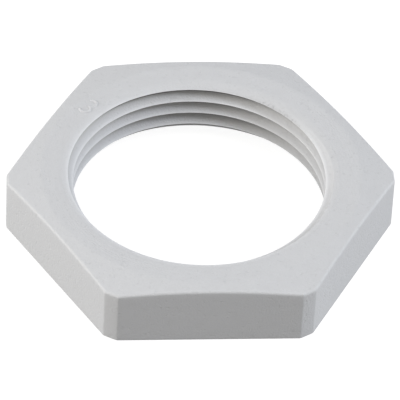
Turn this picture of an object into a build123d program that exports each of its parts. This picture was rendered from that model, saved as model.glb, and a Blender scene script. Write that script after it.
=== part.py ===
from build123d import *
from math import radians, tan
import os

os.makedirs("parts", exist_ok=True)

# Locknut of a PG 21 cable gland: a flat hexagonal ring with a threaded bore, in one moulding.
# The origin is the centre of its underside, the flats face +Y and -Y, and +Z leaves the chamfered face.

across_flats = 36.0
across_corners = 40.8
height = 7.0
cone_start_dia = 33.6
cone_angle = 14.0
top_mouth_dia = 29.8
top_mouth_depth = 0.5
bottom_mouth_dia = 30.0
corner_edge_radius = 0.5
upper_edge_radius = 0.3
lower_edge_radius = 0.15

# the right-handed thread: its crest stands crest_height above the underside on the nut's +Y side
minor_dia = 26.78
major_dia = 28.30
pitch = 25.4 / 16
flank_angle = 40.0
crest_flat = 0.24
crest_height = 5.17

minor_radius = minor_dia / 2
major_radius = major_dia / 2
corner_radius = across_corners / 2
clear_radius = minor_radius - 1
clear_outside = corner_radius + 1
cone_drop = (clear_outside - cone_start_dia / 2) * tan(radians(cone_angle))
bottom_mouth_depth = bottom_mouth_dia / 2 - minor_radius

# the groove between the crests: its half width at the minor radius, at its root and where it starts
mouth_half = (pitch - crest_flat) / 2
root_half = mouth_half - (major_radius - minor_radius) * tan(radians(flank_angle))
lead_in = 0.04
lead_in_half = mouth_half + lead_in * tan(radians(flank_angle))
blank_margin = 2 * pitch
groove_turns = 7
groove_start = crest_height - pitch / 4 - 4.5 * pitch

with BuildPart() as locknut:
    # a hexagonal blank, its corners turned down to one circle, longer than the nut at both ends
    with BuildSketch(Plane.XY.offset(-blank_margin)):
        RegularPolygon(across_flats / 2, 6, major_radius=False)
        Circle(corner_radius, mode=Mode.INTERSECT)
    extrude(amount=height + 2 * blank_margin)
    upright = locknut.edges().filter_by(Axis.Z)
    fillet(upright, corner_edge_radius)

    # the bore at the minor diameter, then the groove, a trapezium carried up a helix
    with BuildSketch(Plane.XY.offset(-blank_margin)):
        Circle(minor_radius)
    extrude(amount=height + 2 * blank_margin, mode=Mode.SUBTRACT)
    with BuildLine():
        helix = Helix(pitch, groove_turns * pitch, minor_radius, center=(0, 0, groove_start))
    with BuildSketch(Plane.XZ) as groove:
        with BuildLine():
            Polyline(
                (minor_radius - lead_in, groove_start - lead_in_half),
                (major_radius, groove_start - root_half),
                (major_radius, groove_start + root_half),
                (minor_radius - lead_in, groove_start + lead_in_half),
                close=True,
            )
        make_face()
    sweep(groove.sketch, helix, is_frenet=True, mode=Mode.SUBTRACT)

    # the lower end is trimmed to the clamping face and the wide mouth in it
    with BuildSketch(Plane.XZ):
        with BuildLine():
            Polyline(
                (clear_radius, bottom_mouth_depth),
                (minor_radius, bottom_mouth_depth),
                (bottom_mouth_dia / 2, 0),
                (clear_outside, 0),
                (clear_outside, -blank_margin),
                (clear_radius, -blank_margin),
                close=True,
            )
        make_face()
    revolve(axis=Axis.Z, mode=Mode.SUBTRACT)

    # the upper end is trimmed to the shallow cone over the corners, the upper face and its mouth,
    # a lip that leaves the face level and rolls down gently to the minor diameter
    with BuildSketch(Plane.XZ):
        with BuildLine():
            Polyline(
                (minor_radius, height - top_mouth_depth),
                (clear_radius, height - top_mouth_depth),
                (clear_radius, height + blank_margin),
                (clear_outside, height + blank_margin),
                (clear_outside, height - cone_drop),
                (cone_start_dia / 2, height),
                (top_mouth_dia / 2, height),
            )
            TangentArc(
                (top_mouth_dia / 2, height),
                (minor_radius, height - top_mouth_depth),
                tangent=(-1, 0),
            )
        make_face()
    revolve(axis=Axis.Z, mode=Mode.SUBTRACT)

    # the edges round the hexagon are softened, more above than below
    bore_line = Line((0, 0, 0), (0, 0, height), mode=Mode.PRIVATE)
    hexagon_edges = locknut.edges().filter_by(
        lambda edge: edge.distance_to(bore_line) > cone_start_dia / 2 + upper_edge_radius
    )
    fillet(hexagon_edges.group_by(Axis.Z)[0], lower_edge_radius)
    hexagon_edges = locknut.edges().filter_by(
        lambda edge: edge.distance_to(bore_line) > cone_start_dia / 2 + upper_edge_radius
    )
    lowest_upper = height - (corner_radius - cone_start_dia / 2) * tan(radians(cone_angle))
    upper_edges = hexagon_edges.filter_by_position(Axis.Z, lowest_upper - 0.1, height)
    fillet(upper_edges, upper_edge_radius)

print("volume", round(locknut.part.volume, 1), "valid", locknut.part.is_valid)
locknut.part.label = "locknut"
export_step(locknut.part, "parts/locknut.step")
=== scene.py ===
import math

import bpy
import numpy as np
from mathutils import Matrix, Vector


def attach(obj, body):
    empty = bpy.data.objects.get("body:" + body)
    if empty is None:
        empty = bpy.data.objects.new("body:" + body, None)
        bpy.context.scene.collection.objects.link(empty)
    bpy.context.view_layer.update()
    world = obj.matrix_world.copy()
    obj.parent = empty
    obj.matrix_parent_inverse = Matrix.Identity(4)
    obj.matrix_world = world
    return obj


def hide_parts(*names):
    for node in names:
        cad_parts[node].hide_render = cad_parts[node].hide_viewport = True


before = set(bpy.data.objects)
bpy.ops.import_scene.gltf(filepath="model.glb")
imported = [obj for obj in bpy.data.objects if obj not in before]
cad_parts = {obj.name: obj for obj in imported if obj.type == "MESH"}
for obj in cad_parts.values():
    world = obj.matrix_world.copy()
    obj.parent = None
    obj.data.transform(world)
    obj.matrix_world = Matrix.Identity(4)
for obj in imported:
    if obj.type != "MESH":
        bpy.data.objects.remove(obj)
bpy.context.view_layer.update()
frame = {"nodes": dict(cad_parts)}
mm = 0.001  # sizes below are in millimetres, the scene is in metres
print("frame loaded:", ", ".join(frame["nodes"]))


def gridMesh(name, points, masks, closed=True):
    # points[row, column, xyz] become quads; every row is a closed ring, and the last row joins
    # the first one, or both are capped when closed is False; each mask becomes an attribute
    rows, cols = points.shape[:2]
    uu, vv = np.meshgrid(np.arange(cols), np.arange(rows if closed else rows - 1))
    u1, v1 = (uu + 1) % cols, (vv + 1) % rows
    corners = [vv * cols + uu, vv * cols + u1, v1 * cols + u1, v1 * cols + uu]
    faces = np.stack(corners, -1).reshape(-1, 4).tolist()
    if not closed:
        faces.append(list(range(cols))[::-1])
        faces.append(list(range((rows - 1) * cols, rows * cols)))
    mesh = bpy.data.meshes.new(name)
    mesh.from_pydata((points.reshape(-1, 3) * mm).tolist(), [], faces)
    mesh.polygons.foreach_set("use_smooth", np.ones(len(faces), dtype=bool))
    for label, values in masks.items():
        layer = mesh.attributes.new(label, "FLOAT", "POINT")
        layer.data.foreach_set("value", values.astype(np.float32).reshape(-1))
    mesh.update()
    obj = bpy.data.objects.new(name, mesh)
    bpy.context.scene.collection.objects.link(obj)
    return obj


def addPiece(obj, material):
    # both pieces of the scene stand for the one moulding of the frame
    obj.data.materials.append(material)
    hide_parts("locknut")
    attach(obj, "root")


def smoothMax(a, b, width):
    # the larger of two values, rounded over a band of that width where they cross
    h = np.clip(0.5 + 0.5 * (a - b) / width, 0, 1)
    return b + (a - b) * h + width * h * (1 - h)


# the nut: one closed surface, a section carried round the axis

# edge, lip, crest, root and seam carry painted highlight and shade; flash marks where crumbs lie
maskNames = ("edge", "lip", "crest", "root", "seam", "flash")  # kept on every point for the paint

nut = {
    "acrossFlats": 36.1,
    "acrossCorners": 40.8,
    "height": 7.03,
    "cornerRound": 0.5,
    "upperRound": 0.32,
    "lowerRound": 0.15,
    "coneStart": 16.8,  # radius at which the shallow cone leaves the upper face
    "coneAngle": 12.5,
    "faceRound": 0.25,  # how softly the upper face changes to the cone
    "bendSpan": 0.3,  # close rows are kept this far on both sides of that change
    "lipRadius": 14.9,  # where the upper face starts to roll into the bore
    "lipReach": 13.39,  # the lip's inner end
    "lipDepth": 0.5,  # and its depth there
    "lipTop": 0.012,  # the first rows of the lip share out this much of its depth
    "bottomMouth": 15.25,
    "boreShift": (-0.165, 0.0),  # the threaded core sat a little off the hexagon's centre
    "thread": {
        "minorRadius": 13.27,
        "majorRadius": 14.15,
        "pitch": 25.4 / 16,
        "crestRound": 0.03,
        "hollow": 2.0,  # how far the flanks are hollowed; 1 would be a plain V
        "crestHeight": 5.15,  # middle of the crest on the +Y side
        "rowStep": 0.02,
        "runOut": 0.06,  # rounding where thread and mouths meet
    },
    # where the painted highlight on the crests and the painted shade in the roots lie in the thread,
    # in shares of the way from a crest to a root
    "shade": {
        "crestWidth": 0.24,
        "crestFall": 1.3,
        "rootFrom": 0.25,
        "rootSpan": 0.7,
        "deepFrom": 0.88,
        "deepSpan": 0.08,
        "fadeFrom": 6.55,  # height above which the groove runs out and isn't shaded
        "fadeSpan": 0.2,
        "lipBlend": 0.1,
        "rimReach": 0.3,  # width of the light band where the lip ends
        "rimLevel": 0.6,
        "rimSwing": 0.5,
    },
    # painted light and shade on the lip: its tone runs round the bore as one wave, lightest towards
    # the brightest direction
    "lipShading": {
        "level": 0.15,
        "swing": 1.1,
        "brightest": -160.0,  # direction in degrees
        "inward": 1.2,  # how strongly the tone keeps to the lip's inner end
    },
    # painted shade along a fine line that the core left on the lip and a painted highlight beside it,
    # with crumbs of flash on a part of it
    "seam": {
        "radius": 13.5,
        "width": 0.1,
        "ends": (-15, 72),  # directions in degrees, here and below
        "fades": (15, 12),
        "glint": 0.7,  # a lighter line beside it, its place and width in widths of the seam
        "glintPlace": 3,
        "glintWidth": 1.4,
        "flashEnds": (10, 62),
        "flashFades": (8, 6),
        "flashWidth": 0.2,
    },
}


def hexOutline(s):
    # one sixth of the outline is a flat, a small arc, a slice of the corner circle and a second
    # arc, listed anticlockwise from the flat's right end and turned five times by 60 degrees
    flatSteps, arcSteps, cornerSteps = 25, 7, 5
    half, corner, r = s["acrossFlats"] / 2, s["acrossCorners"] / 2, s["cornerRound"]
    arcX, arcY = math.sqrt((corner - r) ** 2 - (half - r) ** 2), half - r
    arcTurn = math.atan2(arcX, arcY)
    flat = half * np.tan(np.linspace(1, -1, flatSteps) * math.atan2(arcX, half))
    flatPoints = np.stack([flat, np.full_like(flat, half)], -1)
    flatNormals = np.tile([0.0, 1.0], (flatSteps, 1))
    a = np.linspace(0, arcTurn, arcSteps)
    arcNormals = np.stack([-np.sin(a), np.cos(a)], -1)
    arcPoints = np.array([-arcX, arcY]) + r * arcNormals
    a = np.linspace(arcTurn, math.pi / 3 - arcTurn, cornerSteps)[1:-1]
    cornerNormals = np.stack([-np.sin(a), np.cos(a)], -1)
    # the second arc is the first one mirrored and turned on to the next flat
    spin = np.array([[0.5, -math.sqrt(0.75)], [math.sqrt(0.75), 0.5]])
    lastNormals = arcNormals[::-1] * (-1, 1) @ spin.T
    lastPoints = arcPoints[::-1] * (-1, 1) @ spin.T
    points = np.concatenate([flatPoints, arcPoints[1:], corner * cornerNormals, lastPoints[:-1]])
    normals = np.concatenate([flatNormals, arcNormals[1:], cornerNormals, lastNormals[:-1]])
    k = np.arange(6) * math.pi / 3
    turns = np.stack([np.cos(k), -np.sin(k), np.sin(k), np.cos(k)], -1).reshape(6, 2, 2)
    points = np.einsum("kij,nj->kni", turns, points).reshape(-1, 2)
    normals = np.einsum("kij,nj->kni", turns, normals).reshape(-1, 2)
    return points, normals, np.arctan2(points[:, 1], points[:, 0])


def threadShare(theta, z, s):
    # 0 on a crest and 1 halfway between two crests; the crest climbs one pitch for each turn
    # anticlockwise, as a right-hand thread does
    crest = s["crestHeight"] + s["pitch"] * (theta - math.pi / 2) / (2 * math.pi)
    turn = (z - crest) / s["pitch"]
    away = np.abs(turn - np.round(turn)) * s["pitch"]
    away = np.sqrt(away**2 + s["crestRound"] ** 2) - s["crestRound"]
    return np.clip(away / (s["pitch"] / 2), 0, 1)


def between(theta, ends, fades):
    # 1 between two directions, falling to 0 at each over its own fade
    turn = np.degrees(theta)
    return np.clip((turn - ends[0]) / fades[0], 0, 1) * np.clip((ends[1] - turn) / fades[1], 0, 1)


def seamTone(theta, radius, s):
    # painted shade below zero on the line itself and painted highlight above zero just outside it
    off = (radius - s["radius"]) / s["width"]
    glint = s["glint"] * np.exp(-(((off - s["glintPlace"]) / s["glintWidth"]) ** 2))
    return between(theta, s["ends"], s["fades"]) * (glint - np.exp(-(off**2)))


def flashBand(theta, radius, s):
    # a soft band along the line
    off = (radius - s["radius"]) / s["flashWidth"]
    return between(theta, s["flashEnds"], s["flashFades"]) * np.exp(-(off**2))


def upperZ(radius, s):
    # height of the upper side: level out to the cone's start, then down by the cone's slope
    slope = math.tan(math.radians(s["coneAngle"]))
    drop = (radius - s["coneStart"]) * slope
    return s["height"] - smoothMax(drop, np.zeros_like(drop), s["faceRound"] * slope)


def lipAt(depth, s):
    # the lip's radius at a depth: an arc that leaves the upper face level and ends at its reach
    reach = s["lipRadius"] - s["lipReach"]
    bend = (reach**2 + s["lipDepth"] ** 2) / (2 * s["lipDepth"])
    return s["lipRadius"] - math.sqrt(bend**2 - (bend - min(depth, bend)) ** 2)


def lipPaintedLight(theta, radius, s):
    # painted light and shade on the lip: a wave round the bore, growing from the lip's start to its
    # inner end
    share = np.clip((s["lipRadius"] - radius) / (s["lipRadius"] - s["lipReach"]), 0, 1)
    return share ** s["lipShading"]["inward"] * paintedLightWave(theta, s["lipShading"])


def paintedLightWave(theta, s):
    # painted light as a level plus a swing times the cosine of the turn away from the brightest
    # direction
    return s["level"] + s["swing"] * np.cos(theta - math.radians(s["brightest"]))


def ringRow(xy, z, **masks):
    # one row of the surface: x, y, z and then the paint's masks, 0 where none is given
    full = np.ones(len(xy))
    return np.column_stack([xy, z * full] + [masks.get(label, 0.0) * full for label in maskNames])


def wallRows(s, outline, normal, ray):
    # outward over the underside, round its small arc and up the wall, then the upper edge's arc,
    # which turns from the wall into the cone; shares of the way lie closer where the surface turns
    acrossUnderside = (0.0, 0.02, 0.25, 0.5, 0.75, 0.97, 1.0)
    upWall = (0.03, 0.2, 0.4, 0.6, 0.8, 0.93)
    mouth = np.array(s["boreShift"]) + ray * s["bottomMouth"]
    low, high = s["lowerRound"], s["upperRound"]
    inner = outline - normal * low
    rows = [ringRow(mouth * (1 - f) + inner * f, 0.0) for f in acrossUnderside]
    for a in np.radians(np.linspace(18, 90, 5)):
        rows.append(ringRow(outline - normal * low * (1 - math.sin(a)), low * (1 - math.cos(a))))

    # the wall ends where the cone cuts it, so its height follows the distance from the axis
    slope = math.tan(math.radians(s["coneAngle"]))
    turn = np.pi / 2 - np.arctan(slope * np.einsum("ij,ij->i", normal, ray))
    cut = s["height"] - (np.hypot(*outline.T) - s["coneStart"]) * slope
    wallTop = cut - high * np.tan(turn / 2)
    for f in upWall:
        rows.append(ringRow(outline, low + (wallTop - low) * f))
    for f in np.linspace(0, 1, 9):
        xy = outline - normal * (high * (1 - np.cos(turn * f)))[:, None]
        # painted highlight along the upper edge's arc
        edgeHighlight = math.sin(math.pi * (0.15 + 0.7 * f))  # strongest in the middle of the arc
        rows.append(ringRow(xy, wallTop + high * np.sin(turn * f), edge=edgeHighlight))
    return rows


def faceRows(s, edge, ray):
    # inward over the cone, which takes up the edge's small step of height, through the soft bend
    # at its start and over the level face to the lip
    overCone = (0.04, 0.2, 0.4, 0.6, 0.8)
    overFace = (0.2, 0.45, 0.7, 0.9, 0.985)
    edgeXy, coneXy = edge[:, :2], ray * (s["coneStart"] + s["bendSpan"])
    step = edge[:, 2] - upperZ(np.hypot(*edgeXy.T), s)
    rows = []
    for f in overCone:
        xy = edgeXy * (1 - f) + coneXy * f
        rows.append(ringRow(xy, upperZ(np.hypot(*xy.T), s) + step * (1 - f) ** 4))
    for d in np.linspace(s["bendSpan"], -s["bendSpan"], 7):
        xy = ray * (s["coneStart"] + d)
        rows.append(ringRow(xy, upperZ(np.hypot(*xy.T), s)))
    lipXy = np.array(s["boreShift"]) + ray * s["lipRadius"]
    for f in overFace:
        rows.append(ringRow(xy * (1 - f) + lipXy * f, s["height"]))
    return rows


def boreMasks(s, theta, z, share, cut, lip, radius):
    # the painted highlight on the crests and the painted shade in the roots follow the share of the
    # thread's depth, and the lip's masks, painted light and shade and the crumbs, lie wherever the
    # lip has cut the thread away
    m, upper = s["shade"], z > s["height"] / 2
    onLip = np.clip((radius - cut) / m["lipBlend"], 0, 1) * upper
    # crest: a painted highlight along each crest
    crest = (1 - onLip) * np.clip(1 - share / m["crestWidth"], 0, 1) ** m["crestFall"]
    # rim: a painted highlight where the lip meets the thread, stronger where the lip's painted light
    # is stronger
    rim = (lip > cut - 0.02) * np.exp(-np.abs(lip - cut) / m["rimReach"]) * upper
    rim = rim * np.clip(m["rimLevel"] + m["rimSwing"] * paintedLightWave(theta, s["lipShading"]), 0, 1)
    # root: painted shade in the grooves, a slow part across the flank and a deep one at the root,
    # faded where the groove runs out
    slow = np.clip((share - m["rootFrom"]) / m["rootSpan"], 0, 1)
    deep = np.clip((share - m["deepFrom"]) / m["deepSpan"], 0, 1)
    fade = np.clip((m["fadeFrom"] - z) / m["fadeSpan"], 0, 1)
    return {
        "lip": onLip * lipPaintedLight(theta, radius, s),
        "crest": np.maximum(crest, rim),
        "root": (1 - onLip) * (slow + deep) / 2 * fade,
        "seam": onLip * seamTone(theta, radius, s["seam"]),
        "flash": onLip * flashBand(theta, radius, s["seam"]),
    }


def boreRows(s, theta, ray):
    # down the top of the lip, then through the bore by equal steps of height: the radius is the
    # widest of lip, thread and lower mouth
    thread, shift = s["thread"], np.array(s["boreShift"])
    rows = []
    for f in np.linspace(0, 1, 12)[1:]:
        depth = s["lipTop"] * f * f
        r = lipAt(depth, s)
        # painted light and shade on the top of the lip, with the seam's painted shade and highlight
        masks = {"lip": lipPaintedLight(theta, r, s), "seam": seamTone(theta, r, s["seam"])}
        rows.append(ringRow(shift + ray * r, s["height"] - depth, **masks))
    top = s["height"] - s["lipTop"]
    for z in np.linspace(top, 0, int(round(top / thread["rowStep"])) + 1)[1:-1]:
        share = threadShare(theta, z, thread)
        depth = 1 - (1 - share) ** thread["hollow"]
        cut = thread["minorRadius"] + (thread["majorRadius"] - thread["minorRadius"]) * depth
        lip, foot = lipAt(s["height"] - z, s), s["bottomMouth"] - z
        r = smoothMax(smoothMax(cut, lip, thread["runOut"]), foot, thread["runOut"])
        masks = boreMasks(s, theta, z, share, cut, lip, r)
        rows.append(ringRow(shift + ray * r[:, None], z, **masks))
    return rows


def nutSurface(s):
    # the rows of wall, face and bore, one after another; the last one joins the first
    outline, normal, theta = hexOutline(s)
    ray = np.stack([np.cos(theta), np.sin(theta)], -1)
    rows = wallRows(s, outline, normal, ray)
    rows += faceRows(s, rows[-1], ray)
    rows += boreRows(s, theta, ray)
    surface = np.stack(rows)
    return surface[..., :3], {label: surface[..., 3 + i] for i, label in enumerate(maskNames)}


# paint: a matt moulded polyamide, one material for both pieces


def newGroup(name, inputs, outputs):
    group = bpy.data.node_groups.new(name, "ShaderNodeTree")
    for label, kind, value in inputs:
        socket = group.interface.new_socket(label, in_out="INPUT", socket_type=kind)
        if value is not None:
            socket.default_value = value
    for label, kind in outputs:
        group.interface.new_socket(label, in_out="OUTPUT", socket_type=kind)
    return group, group.nodes.new("NodeGroupInput").outputs, group.nodes.new("NodeGroupOutput").inputs


def feed(tree, socket, value):
    # an input gets either a link or a plain value
    if isinstance(value, bpy.types.NodeSocket):
        tree.links.new(value, socket)
    else:
        socket.default_value = value


def addGroup(tree, group, values):
    node = tree.nodes.new("ShaderNodeGroup")
    node.node_tree = group
    for label, value in values.items():
        feed(tree, node.inputs[label], value)
    return node


def addMath(tree, operation, *values, clamp=False):
    node = tree.nodes.new("ShaderNodeMath")
    node.operation = operation
    node.use_clamp = clamp
    for socket, value in zip(node.inputs, values):
        feed(tree, socket, value)
    return node.outputs[0]


def addNoise(tree, vector, scale, detail, roughness=0.5):
    node = tree.nodes.new("ShaderNodeTexNoise")
    node.inputs["Detail"].default_value = detail
    node.inputs["Roughness"].default_value = roughness
    feed(tree, node.inputs["Vector"], vector)
    feed(tree, node.inputs["Scale"], scale)
    return node.outputs[0]


def mouldGrainGroup():
    # the sparked skin of the mould: fine pips, a slower orange peel under them and a few pits
    tree, given, result = newGroup(
        "mouldGrain",
        [
            ("Vector", "NodeSocketVector", None),
            ("Pip Size", "NodeSocketFloat", 0.00022),
            ("Peel", "NodeSocketFloat", 0.5),
            ("Pits", "NodeSocketFloat", 0.4),
        ],
        [("Height", "NodeSocketFloat"), ("Tone", "NodeSocketFloat")],
    )
    peelScale, pitScale = 0.17, 0.55  # shares of the pips' own scale
    pitFrom, pitRise = 0.68, 9.0  # noise above the first value is a pit, and how fast it deepens
    slowShare = 0.5
    vector = given["Vector"]
    scale = addMath(tree, "DIVIDE", 1.0, given["Pip Size"])
    fine = addNoise(tree, vector, scale, 3, 0.6)
    slow = addNoise(tree, vector, addMath(tree, "MULTIPLY", scale, peelScale), 2)
    spots = addNoise(tree, vector, addMath(tree, "MULTIPLY", scale, pitScale), 0)
    pit = addMath(tree, "MULTIPLY", addMath(tree, "SUBTRACT", spots, pitFrom), pitRise, clamp=True)
    pit = addMath(tree, "MULTIPLY", pit, given["Pits"])
    height = addMath(tree, "MULTIPLY_ADD", slow, given["Peel"], fine)
    tone = addMath(tree, "MULTIPLY_ADD", slow, slowShare, fine)
    tone = addMath(tree, "SUBTRACT", tone, 0.5 + 0.5 * slowShare)  # both noises have a mean of 0.5
    tree.links.new(addMath(tree, "SUBTRACT", height, pit), result["Height"])
    tree.links.new(addMath(tree, "SUBTRACT", tone, pit), result["Tone"])
    return tree


def turnedRingsGroup():
    # faint rings round the Z axis, left by the lathe that made the mould's flat face
    tree, given, result = newGroup(
        "turnedRings",
        [
            ("Vector", "NodeSocketVector", None),
            ("Spacing", "NodeSocketFloat", 0.0004),
            ("Wander", "NodeSocketFloat", 1.4),
        ],
        [("Height", "NodeSocketFloat")],
    )
    flat = tree.nodes.new("ShaderNodeVectorMath")
    flat.operation = "MULTIPLY"
    flat.inputs[1].default_value = (1, 1, 0)
    tree.links.new(given["Vector"], flat.inputs[0])
    radius = tree.nodes.new("ShaderNodeVectorMath")
    radius.operation = "LENGTH"
    tree.links.new(flat.outputs[0], radius.inputs[0])
    # one value for each radius, so that rings differ from one another but not along their way
    ring = tree.nodes.new("ShaderNodeTexNoise")
    ring.noise_dimensions = "1D"
    ring.inputs["Scale"].default_value = 0.5
    ring.inputs["Detail"].default_value = 4
    ring.inputs["Roughness"].default_value = 0.7
    place = addMath(tree, "DIVIDE", radius.outputs["Value"], given["Spacing"])
    tree.links.new(place, ring.inputs["W"])
    # a slow noise makes them stronger here and weaker there
    driftScale, driftFrom, leastFade = 150.0, 0.35, 0.15
    drift = addNoise(tree, given["Vector"], driftScale, 2)
    fade = addMath(tree, "MULTIPLY", addMath(tree, "SUBTRACT", drift, driftFrom), given["Wander"])
    fade = addMath(tree, "MAXIMUM", fade, leastFade)
    wave = addMath(tree, "SUBTRACT", ring.outputs[0], 0.5)
    tree.links.new(addMath(tree, "MULTIPLY", wave, fade), result["Height"])
    return tree


def reliefToneGroup():
    # the colour is scaled by 1 plus each mask times its gain, and the roots' painted shade gets a
    # warm tint; edge, lip, crest and seam are painted highlight and shade, root is painted shade and
    # tone is the grain
    labels = ("Edge", "Lip", "Crest", "Root", "Seam", "Tone")
    inputs = [("Color", "NodeSocketColor", (0.6, 0.6, 0.6, 1))]
    inputs += [(label, "NodeSocketFloat", 0.0) for label in labels]
    inputs += [(label + " Gain", "NodeSocketFloat", 0.1) for label in labels]
    inputs += [("Root Shade Tint", "NodeSocketColor", (1, 0.97, 0.9, 1))]
    tree, given, result = newGroup("reliefTone", inputs, [("Color", "NodeSocketColor")])
    gain = 1.0
    for label in labels:
        gain = addMath(tree, "MULTIPLY_ADD", given[label], given[label + " Gain"], gain)
    scaled = tree.nodes.new("ShaderNodeVectorMath")
    scaled.operation = "SCALE"
    tree.links.new(given["Color"], scaled.inputs[0])
    tree.links.new(gain, scaled.inputs["Scale"])
    tint = tree.nodes.new("ShaderNodeMix")
    tint.data_type = "RGBA"
    tint.blend_type = "MULTIPLY"
    tree.links.new(given["Root"], tint.inputs[0])
    tree.links.new(scaled.outputs[0], tint.inputs[6])
    tree.links.new(given["Root Shade Tint"], tint.inputs[7])
    tree.links.new(tint.outputs[2], result["Color"])
    return tree


def spotGroup():
    # a soft round spot about a point, for single marks in the moulding: full within half its
    # radius and gone at one and a half
    tree, given, result = newGroup(
        "spot",
        [
            ("Vector", "NodeSocketVector", None),
            ("Middle", "NodeSocketVector", (0, 0, 0)),
            ("Radius", "NodeSocketFloat", 0.0002),
        ],
        [("Mask", "NodeSocketFloat")],
    )
    reach = tree.nodes.new("ShaderNodeVectorMath")
    reach.operation = "DISTANCE"
    tree.links.new(given["Vector"], reach.inputs[0])
    tree.links.new(given["Middle"], reach.inputs[1])
    share = addMath(tree, "DIVIDE", reach.outputs["Value"], given["Radius"])
    tree.links.new(addMath(tree, "SUBTRACT", 1.5, share, clamp=True), result["Mask"])
    return tree


def crumbGroup():
    # loose crumbs where a noise is high, kept to where another mask allows them
    crumbFrom, crumbRise = 0.52, 7.0
    tree, given, result = newGroup(
        "crumbs",
        [
            ("Vector", "NodeSocketVector", None),
            ("Size", "NodeSocketFloat", 0.0003),
            ("Where", "NodeSocketFloat", 0.0),
        ],
        [("Mask", "NodeSocketFloat")],
    )
    noise = addNoise(tree, given["Vector"], addMath(tree, "DIVIDE", 1.0, given["Size"]), 2, 0.6)
    high = addMath(tree, "SUBTRACT", noise, crumbFrom)
    crumb = addMath(tree, "MULTIPLY", high, crumbRise, clamp=True)
    tree.links.new(addMath(tree, "MULTIPLY", crumb, given["Where"]), result["Mask"])
    return tree


paint = {
    "color": (0.596, 0.60, 0.625, 1),
    "roughness": 0.52,
    "roughSwing": 0.2,  # how far the grain moves the roughness
    "specular": 0.3,
    "pipSize": 0.22,
    "bump": 0.045,
    "ringBump": 0.12,
    "ringFrom": 0.9,  # the rings show where the face is this square to the axis
    # Edge and Crest are painted highlight, Lip painted light and shade, Seam painted shade with a
    # painted highlight, Root painted shade; Tone is the grain and marks
    "gains": {"Edge": 0.04, "Lip": 0.12, "Crest": 0.27, "Root": -0.84, "Seam": 0.03, "Tone": 0.08},
    "rootShadeTint": (1.0, 0.97, 0.90, 1),
    "crumbSize": 0.35,
    "crumbLoss": 0.22,
    # single marks: middle, radius and how much they darken
    "spots": (
        ((-4.17, 12.6, 6.6), 0.22, 0.25),
        ((12.75, -14.95, 6.6), 0.28, 0.22),
    ),
}


def toneAndMarks(tree, place, grainTone, flash, s):
    # grain, single marks and crumbs share one tone; what darkens is written as a loss of colour
    tone, unit = grainTone, s["gains"]["Tone"]
    spot = spotGroup()
    for middle, radius, loss in s["spots"]:
        values = {"Vector": place, "Middle": [c * mm for c in middle], "Radius": radius * mm}
        mask = addGroup(tree, spot, values).outputs["Mask"]
        tone = addMath(tree, "MULTIPLY_ADD", mask, -loss / unit, tone)
    values = {"Vector": place, "Size": s["crumbSize"] * mm, "Where": flash}
    mask = addGroup(tree, crumbGroup(), values).outputs["Mask"]
    return addMath(tree, "MULTIPLY_ADD", mask, -s["crumbLoss"] / unit, tone)


def polyamide(s):
    # colour from the masks, roughness from the grain, and one bump from the grain and the rings
    mat = bpy.data.materials.new("moulded_polyamide")
    mat.use_nodes = True
    tree = mat.node_tree
    bsdf = tree.nodes["Principled BSDF"].inputs
    bsdf["Specular IOR Level"].default_value = s["specular"]
    place = tree.nodes.new("ShaderNodeTexCoord").outputs["Object"]
    grain = addGroup(tree, mouldGrainGroup(), {"Vector": place, "Pip Size": s["pipSize"] * mm})
    rings = addGroup(tree, turnedRingsGroup(), {"Vector": place})

    masks = {}
    for label in maskNames:
        node = tree.nodes.new("ShaderNodeAttribute")
        node.attribute_name = label
        masks[label.capitalize()] = node.outputs["Fac"]
    masks["Tone"] = toneAndMarks(tree, place, grain.outputs["Tone"], masks.pop("Flash"), s)
    gains = {label + " Gain": gain for label, gain in s["gains"].items()}
    values = {"Color": s["color"], "Root Shade Tint": s["rootShadeTint"]} | masks | gains
    relief = addGroup(tree, reliefToneGroup(), values)
    tree.links.new(relief.outputs["Color"], bsdf["Base Color"])
    rough = addMath(tree, "MULTIPLY_ADD", grain.outputs["Tone"], s["roughSwing"], s["roughness"])
    tree.links.new(rough, bsdf["Roughness"])

    normal = tree.nodes.new("ShaderNodeNewGeometry").outputs["Normal"]
    facing = tree.nodes.new("ShaderNodeSeparateXYZ")
    tree.links.new(normal, facing.inputs[0])
    square = addMath(tree, "SUBTRACT", addMath(tree, "ABSOLUTE", facing.outputs["Z"]), s["ringFrom"])
    square = addMath(tree, "MULTIPLY", square, 1 / (1 - s["ringFrom"]), clamp=True)
    ringed = addMath(tree, "MULTIPLY", rings.outputs["Height"], square)
    ringed = addMath(tree, "MULTIPLY", ringed, s["ringBump"] / s["bump"])
    bump = tree.nodes.new("ShaderNodeBump")
    bump.inputs["Strength"].default_value = 1.0
    bump.inputs["Distance"].default_value = s["bump"] * mm
    tree.links.new(addMath(tree, "ADD", grain.outputs["Height"], ringed), bump.inputs["Height"])
    tree.links.new(bump.outputs["Normal"], bsdf["Normal"])
    return mat


plastic = polyamide(paint)
print("material done")

nutPoints, nutMasks = nutSurface(nut)
locknut = gridMesh("locknut_body", nutPoints, nutMasks)
addPiece(locknut, plastic)
print("nut done:", 2 * len(locknut.data.polygons), "triangles")


# the raised cavity number on the upper face, a plain 3

numeral = {
    "place": (-11.43, 10.57),  # middle of the figure on the upper face
    "base": nut["height"],
    "readsFrom": -43.0,  # direction in which the figure's right side points, degrees
    "tall": 2.15,  # between the middles of the highest and the lowest stroke
    "wide": 1.15,
    "upperShare": 0.92,  # width of the upper bowl as a share of the lower one's
    "upperSweep": (150, -82),  # directions in degrees where each bowl starts and ends
    "lowerSweep": (82, -150),
    "stroke": 0.34,
    "raise": 0.11,
    "sunk": 0.06,  # depth of the stroke's underside
    "letIn": 0.01,  # how far the whole figure is let into the face
    "endSize": 0.1,  # how thin the stroke gets at its ends, as a share of its size
}


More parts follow.
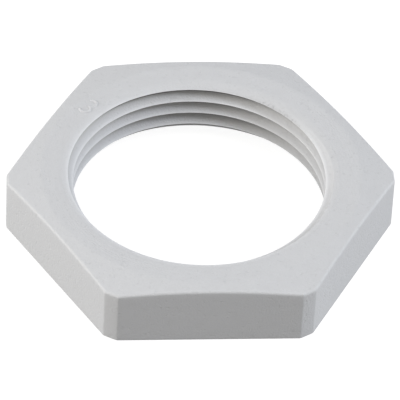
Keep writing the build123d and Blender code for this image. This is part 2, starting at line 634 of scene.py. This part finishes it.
def numeralSurface(s):
    # two open bowls one above the other, each an ellipse drawn clockwise; a half-ellipse is
    # carried along them with its flat side sunk into the face
    upperSteps, lowerSteps, aroundSteps, bluntness = 46, 50, 16, 24
    upper = np.radians(np.linspace(*s["upperSweep"], upperSteps))
    lower = np.radians(np.linspace(*s["lowerSweep"], lowerSteps))
    w, h = s["wide"] / 2, s["tall"] / 4
    x = np.concatenate([s["upperShare"] * w * np.cos(upper), w * np.cos(lower)])
    y = np.concatenate([h + h * np.sin(upper), -h + h * np.sin(lower)])
    path = np.stack([x, y], -1)
    along = np.gradient(path, axis=0)
    along /= np.hypot(*along.T)[:, None]
    across = np.stack([-along[:, 1], along[:, 0]], -1)
    share = np.linspace(-1, 1, len(path))
    taper = np.sqrt(1 - np.abs(share) ** bluntness) * (1 - s["endSize"]) + s["endSize"]
    a = np.linspace(0, 2 * math.pi, aroundSteps + 1)[:-1]
    side, up = np.cos(a) * s["stroke"] / 2, np.sin(a)
    up = np.where(up > 0, up * s["raise"], up * s["sunk"])
    xy = path[:, None, :] + across[:, None, :] * (side[None, :, None] * taper[:, None, None])
    z = s["base"] + up[None, :] * taper[:, None] - s["letIn"]
    turn = math.radians(s["readsFrom"])
    spin = np.array([[math.cos(turn), -math.sin(turn)], [math.sin(turn), math.cos(turn)]])
    return np.concatenate([xy @ spin.T + np.array(s["place"]), z[..., None]], -1)


numeralPoints = numeralSurface(numeral)
numeralMasks = {label: np.zeros(numeralPoints.shape[:2]) for label in maskNames}
# the edge mask here is a painted highlight, lighter towards the top of the raised stroke
numeralMasks["edge"] = np.clip((numeralPoints[..., 2] - numeral["base"]) / numeral["raise"], 0, 1)
cavityNumber = gridMesh("cavity_number", numeralPoints, numeralMasks, closed=False)
addPiece(cavityNumber, plastic)
print("number done:", len(cavityNumber.data.polygons), "faces")


# floor, lamps, world and camera

studio = {
    "floorSize": 3.0,  # metres
    "floorGap": 0.00002,  # keeps the floor off the underside of the nut
    "floorShade": 0.2,
    "floorGlow": 0.92,  # what the camera and mirrors see, beside the light that falls on it
    "worldStrength": 0.35,
    # direction seen from the object (azimuth from the camera's side, elevation), distance and
    # size in metres, power in watts, colour
    "lamps": {
        "left": (-92, 20, 1.2, 0.8, 11.5, (1.0, 1.0, 0.97)),
        "leftHigh": (-60, 50, 1.2, 0.5, 1.5, (1.0, 0.9, 0.7)),
        "right": (92, 20, 1.2, 0.8, 6.3, (0.98, 1.0, 1.0)),
        "rightHigh": (60, 50, 1.2, 0.5, 4.8, (0.90, 0.95, 1.0)),
        "front": (-5, 15, 1.2, 0.5, 1.0, (1.0, 0.9, 0.7)),
    },
}


def towards(azimuth, elevation):
    # unit vector from the object; azimuth 0 points along -Y and 90 along +X
    a, e = math.radians(azimuth), math.radians(elevation)
    return Vector((math.sin(a) * math.cos(e), -math.cos(a) * math.cos(e), math.sin(e)))


def floorMaterial(s):
    # a grey floor, which adds a white glow for the camera and for mirrors only
    mat = bpy.data.materials.new("floor_white")
    mat.use_nodes = True
    tree = mat.node_tree
    tree.nodes.clear()
    out = tree.nodes.new("ShaderNodeOutputMaterial")
    diffuse = tree.nodes.new("ShaderNodeBsdfDiffuse")
    diffuse.inputs["Color"].default_value = (s["floorShade"],) * 3 + (1,)
    glow = tree.nodes.new("ShaderNodeEmission")
    glow.inputs["Strength"].default_value = s["floorGlow"]
    both = tree.nodes.new("ShaderNodeAddShader")
    mix = tree.nodes.new("ShaderNodeMixShader")
    ray = tree.nodes.new("ShaderNodeLightPath").outputs
    seen = addMath(tree, "MAXIMUM", ray["Is Glossy Ray"], ray["Is Transmission Ray"])
    seen = addMath(tree, "MAXIMUM", seen, ray["Is Camera Ray"])
    tree.links.new(diffuse.outputs[0], both.inputs[0])
    tree.links.new(glow.outputs[0], both.inputs[1])
    tree.links.new(seen, mix.inputs[0])
    tree.links.new(diffuse.outputs[0], mix.inputs[1])
    tree.links.new(both.outputs[0], mix.inputs[2])
    tree.links.new(mix.outputs[0], out.inputs["Surface"])
    return mat


def makeFloor(s):
    half, z = s["floorSize"] / 2, -s["floorGap"]
    mesh = bpy.data.meshes.new("floor")
    corners = [(-half, -half, z), (half, -half, z), (half, half, z), (-half, half, z)]
    mesh.from_pydata(corners, [], [(0, 1, 2, 3)])
    mesh.materials.append(floorMaterial(s))
    floor = bpy.data.objects.new("floor", mesh)
    bpy.context.scene.collection.objects.link(floor)


def makeLamps(s):
    for name, (azimuth, elevation, distance, size, power, color) in s["lamps"].items():
        lamp = bpy.data.lights.new(name, "AREA")
        lamp.shape = "DISK"
        lamp.size = size
        lamp.energy = power
        lamp.color = color
        obj = bpy.data.objects.new(name, lamp)
        away = towards(azimuth, elevation)
        obj.location = away * distance
        obj.rotation_euler = away.to_track_quat("Z", "Y").to_euler()
        bpy.context.scene.collection.objects.link(obj)


def makeWorld(s):
    # a dim world for the object and a white one for the camera
    world = bpy.data.worlds.new("studio")
    world.use_nodes = True
    tree = world.node_tree
    tree.nodes.clear()
    out = tree.nodes.new("ShaderNodeOutputWorld")
    mix = tree.nodes.new("ShaderNodeMixShader")
    seen = tree.nodes.new("ShaderNodeLightPath").outputs["Is Camera Ray"]
    tree.links.new(seen, mix.inputs[0])
    for socket, strength in zip(mix.inputs[1:], (s["worldStrength"], 1.0)):
        shade = tree.nodes.new("ShaderNodeBackground")
        shade.inputs["Color"].default_value = (1, 1, 1, 1)
        shade.inputs["Strength"].default_value = strength
        tree.links.new(shade.outputs[0], socket)
    tree.links.new(mix.outputs[0], out.inputs["Surface"])
    bpy.context.scene.world = world


shot = {
    "azimuth": -5.394,
    "elevation": 42.446,
    "roll": 3.124,
    "distance": 519.1,  # from the middle of the underside
    "lens": 441.5,
    "sensor": 36,
    "aim": (-0.133, -2.227),  # where the middle of the underside lies beside the picture's middle
}


def makeCamera(s):
    # turned by its roll about the line of sight, then moved so that the object lies at the aim
    back = towards(s["azimuth"], s["elevation"])
    azimuth, roll = math.radians(s["azimuth"]), math.radians(s["roll"])
    side = Vector((math.cos(azimuth), math.sin(azimuth), 0))
    up = back.cross(side)
    right = math.cos(roll) * side + math.sin(roll) * up
    upward = -math.sin(roll) * side + math.cos(roll) * up
    data = bpy.data.cameras.new("camera")
    data.sensor_width = s["sensor"]
    data.lens = s["lens"]
    data.clip_start, data.clip_end = 0.01, 20
    cam = bpy.data.objects.new("camera", data)
    place = (s["distance"] * back - s["aim"][0] * right - s["aim"][1] * upward) * mm
    turn = Matrix((right, upward, back)).transposed().to_4x4()
    cam.matrix_world = Matrix.Translation(place) @ turn
    bpy.context.scene.collection.objects.link(cam)
    bpy.context.scene.camera = cam


makeFloor(studio)
makeLamps(studio)
makeWorld(studio)
makeCamera(shot)
bpy.context.scene.view_settings.view_transform = "Standard"
print("studio and camera done")
